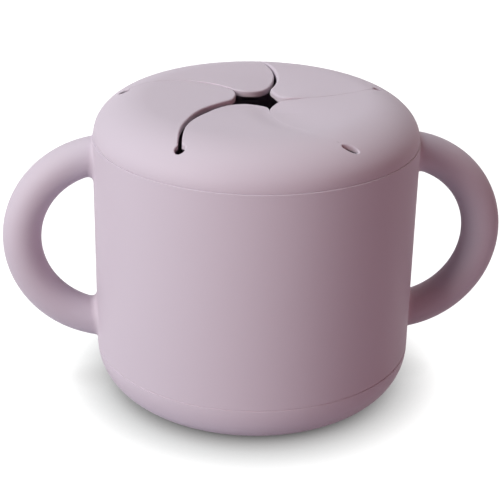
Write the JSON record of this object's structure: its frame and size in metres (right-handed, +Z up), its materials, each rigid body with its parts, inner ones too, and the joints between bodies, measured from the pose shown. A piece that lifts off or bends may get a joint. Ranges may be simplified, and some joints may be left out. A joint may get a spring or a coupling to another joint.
{
  "type": "toddler snack container",
  "caption": "Soft silicone snack cup for a toddler, with a ring handle on each side and a flush lid whose curved flaps part round a small star opening.",
  "frame": {"origin": "centre of the cup's base, on the surface that it stands on", "axes": "+Z up along the cup's axis of revolution; X through the middles of the two handles, handle_right on +X; +Y away from the viewer of the picture, which looks from -Y"},
  "size_m": [0.1334, 0.085, 0.0803],
  "materials": {
    "cup_silicone": "matte silicone",
    "lid_silicone": "matte silicone"
  },
  "bodies": {
    "cup": {"cup_body": "cup_silicone", "handle_left": "cup_silicone", "handle_right": "cup_silicone"},
    "lid": {"lid_ring": "lid_silicone"},
    "flap_1": {"flap_1": "lid_silicone"},
    "flap_2": {"flap_2": "lid_silicone"},
    "flap_3": {"flap_3": "lid_silicone"},
    "flap_4": {"flap_4": "lid_silicone"},
    "flap_5": {"flap_5": "lid_silicone"}
  },
  "joints": [
    {"name": "lid_lift", "type": "slide", "parent": "cup", "child": "lid", "axis": [0, 0, 1], "range_m": [0, 0.04]},
    {"name": "flap_1_bend", "type": "hinge", "parent": "lid", "child": "flap_1", "pos_m": [-0.01328, 0.01999, 0.0794], "axis": [0.8329, 0.5534, 0], "range_deg": [-35, 60], "stiffness_Nm_per_rad": 0.01},
    {"name": "flap_2_bend", "type": "hinge", "parent": "lid", "child": "flap_2", "pos_m": [-0.02312, -0.00645, 0.0794], "axis": [-0.2689, 0.9632, 0], "range_deg": [-35, 60], "stiffness_Nm_per_rad": 0.01},
    {"name": "flap_3_bend", "type": "hinge", "parent": "lid", "child": "flap_3", "pos_m": [-0.00101, -0.02398, 0.0794], "axis": [-0.9991, 0.0419, 0], "range_deg": [-35, 60], "stiffness_Nm_per_rad": 0.01},
    {"name": "flap_4_bend", "type": "hinge", "parent": "lid", "child": "flap_4", "pos_m": [0.0225, -0.00837, 0.0794], "axis": [-0.3486, -0.9373, 0], "range_deg": [-35, 60], "stiffness_Nm_per_rad": 0.01},
    {"name": "flap_5_bend", "type": "hinge", "parent": "lid", "child": "flap_5", "pos_m": [0.01491, 0.01881, 0.0794], "axis": [0.7837, -0.6211, 0], "range_deg": [-35, 60], "stiffness_Nm_per_rad": 0.01}
  ]
}
